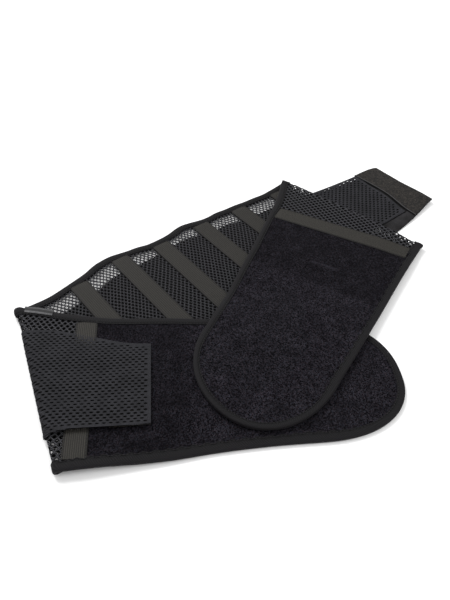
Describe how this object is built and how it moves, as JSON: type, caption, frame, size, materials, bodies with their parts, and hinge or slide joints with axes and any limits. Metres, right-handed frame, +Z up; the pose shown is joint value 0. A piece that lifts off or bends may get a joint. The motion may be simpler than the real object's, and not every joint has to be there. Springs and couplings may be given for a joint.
{
  "type": "orthopedic corset",
  "caption": "Mesh lumbar corset laid down with both round-ended front panels folded over the stayed back panel and its elastic pulls open.",
  "frame": {"origin": "middle of the footprint's bounding box, on the floor that the corset lies on", "axes": "+Z up through the layers; the belt's length runs 37.29 degrees from +X towards +Y, with its upper edge on the +Y side"},
  "size_m": [0.5012, 0.4932, 0.0157],
  "materials": {
    "mesh_knit": "black open knitted spacer mesh",
    "elastic_mesh": "charcoal elastic knit with small slits",
    "loop_pile": "black brushed loop pile",
    "ribbed_tape": "dark brownish grey tape with fine lengthwise ribs",
    "binding_tape": "smooth black woven binding",
    "hook_tape": "matt brownish black hook fastener",
    "satin_label": "blank grey satin ribbon"
  },
  "bodies": {
    "root": {"back_mesh": "mesh_knit", "back_top_binding": "binding_tape", "back_lower_binding": "binding_tape", "left_front_panel": "loop_pile", "right_front_panel": "loop_pile", "left_panel_binding": "binding_tape", "right_panel_binding": "binding_tape", "left_seam_tape": "ribbed_tape", "right_seam_tape": "ribbed_tape", "stay_tape_1": "ribbed_tape", "stay_tape_2": "ribbed_tape", "stay_tape_3": "ribbed_tape", "stay_tape_4": "ribbed_tape", "stay_tape_5": "ribbed_tape", "stay_tape_6": "ribbed_tape", "tension_band": "elastic_mesh", "left_hook_patch": "hook_tape", "right_hook_patch": "hook_tape", "hook_patch_piping": "binding_tape", "pull_backing": "binding_tape", "care_label": "satin_label"}
  },
  "joints": []
}
